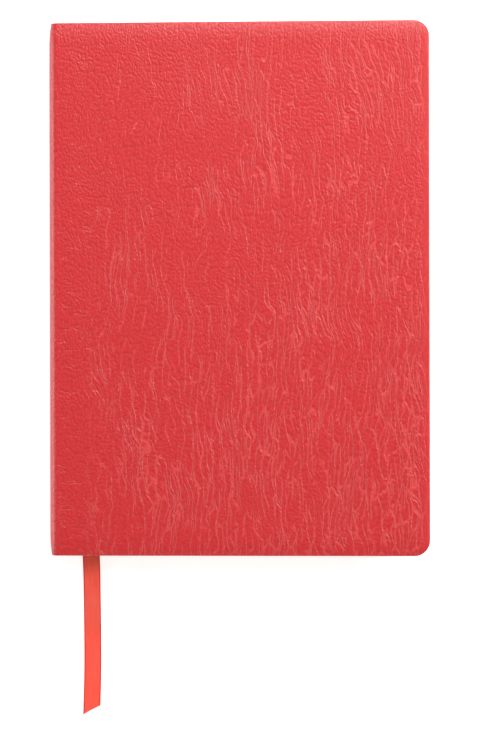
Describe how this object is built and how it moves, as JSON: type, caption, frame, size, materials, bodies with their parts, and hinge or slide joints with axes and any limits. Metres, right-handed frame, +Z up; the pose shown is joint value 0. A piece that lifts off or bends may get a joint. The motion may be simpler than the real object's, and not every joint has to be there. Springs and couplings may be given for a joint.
{
  "type": "leather bound notebook",
  "caption": "Soft-cover bound notebook: grained leather over card, sewn ruled pages, rounded fore-edge corners and a satin ribbon marker out of the foot.",
  "frame": {"origin": "middle of the back cover's outer face, on the surface that the closed notebook lies on; the ribbon's free tail isn't counted", "axes": "+X from the spine to the fore edge, +Y from the foot to the head, +Z up out of the front cover"},
  "size_m": [0.127, 0.2329, 0.0153],
  "materials": {
    "cover_leather": "grained calf, low sheen",
    "card": "matt",
    "endpaper": "matt",
    "page_paper": "matt",
    "spine_paper": "matt",
    "mull_gauze": "open weave",
    "linen_thread": "waxed",
    "band_cloth": "woven, striped",
    "ribbon_satin": "satin"
  },
  "bodies": {
    "back_cover": {"cover_leather_back": "cover_leather", "card_stiffener_back": "card", "pastedown_back": "endpaper"},
    "back_block": {"spine_leather_back": "cover_leather", "spine_lining_back": "spine_paper", "mull_back": "mull_gauze", "sewing_thread_back": "linen_thread", "flyleaf_back": "endpaper", "section_01": "page_paper", "section_02": "page_paper", "section_03": "page_paper", "section_04": "page_paper", "section_05": "page_paper", "section_06": "page_paper", "head_band_back": "band_cloth", "tail_band_back": "band_cloth", "ribbon_marker": "ribbon_satin"},
    "front_block": {"spine_leather_front": "cover_leather", "spine_lining_front": "spine_paper", "mull_front": "mull_gauze", "sewing_thread_front": "linen_thread", "section_07": "page_paper", "section_08": "page_paper", "section_09": "page_paper", "section_10": "page_paper", "section_11": "page_paper", "section_12": "page_paper", "head_band_front": "band_cloth", "tail_band_front": "band_cloth"},
    "front_flyleaf": {"flyleaf_front": "endpaper"},
    "front_cover": {"cover_leather_front": "cover_leather", "card_stiffener_front": "card", "pastedown_front": "endpaper"},
    "ribbon_tail": {"ribbon_tail": "ribbon_satin"}
  },
  "joints": [
    {"name": "back_cover_hinge", "type": "hinge", "parent": "back_cover", "child": "back_block", "pos_m": [-0.06352, 0, -0.00002], "axis": [0, -1, 0], "range_deg": [0, 90]},
    {"name": "middle_opening", "type": "hinge", "parent": "back_block", "child": "front_block", "pos_m": [-0.06352, 0, 0.00766], "axis": [0, -1, 0], "range_deg": [0, 179.5]},
    {"name": "front_cover_hinge", "type": "hinge", "parent": "front_block", "child": "front_cover", "pos_m": [-0.06352, 0, 0.01534], "axis": [0, -1, 0], "range_deg": [0, 179.5]},
    {"name": "front_flyleaf_turn", "type": "hinge", "parent": "front_block", "child": "front_flyleaf", "pos_m": [-0.06352, 0, 0.01534], "axis": [0, -1, 0], "range_deg": [0, 175]},
    {"name": "ribbon_tail_lift", "type": "hinge", "parent": "back_block", "child": "ribbon_tail", "pos_m": [-0.0504, -0.08906, 0.0078], "axis": [-1, 0, 0], "range_deg": [0, 90]}
  ],
  "couplings": [
    {"joint": "front_flyleaf_turn", "follows": "front_cover_hinge", "ratio": 0.97}
  ]
}
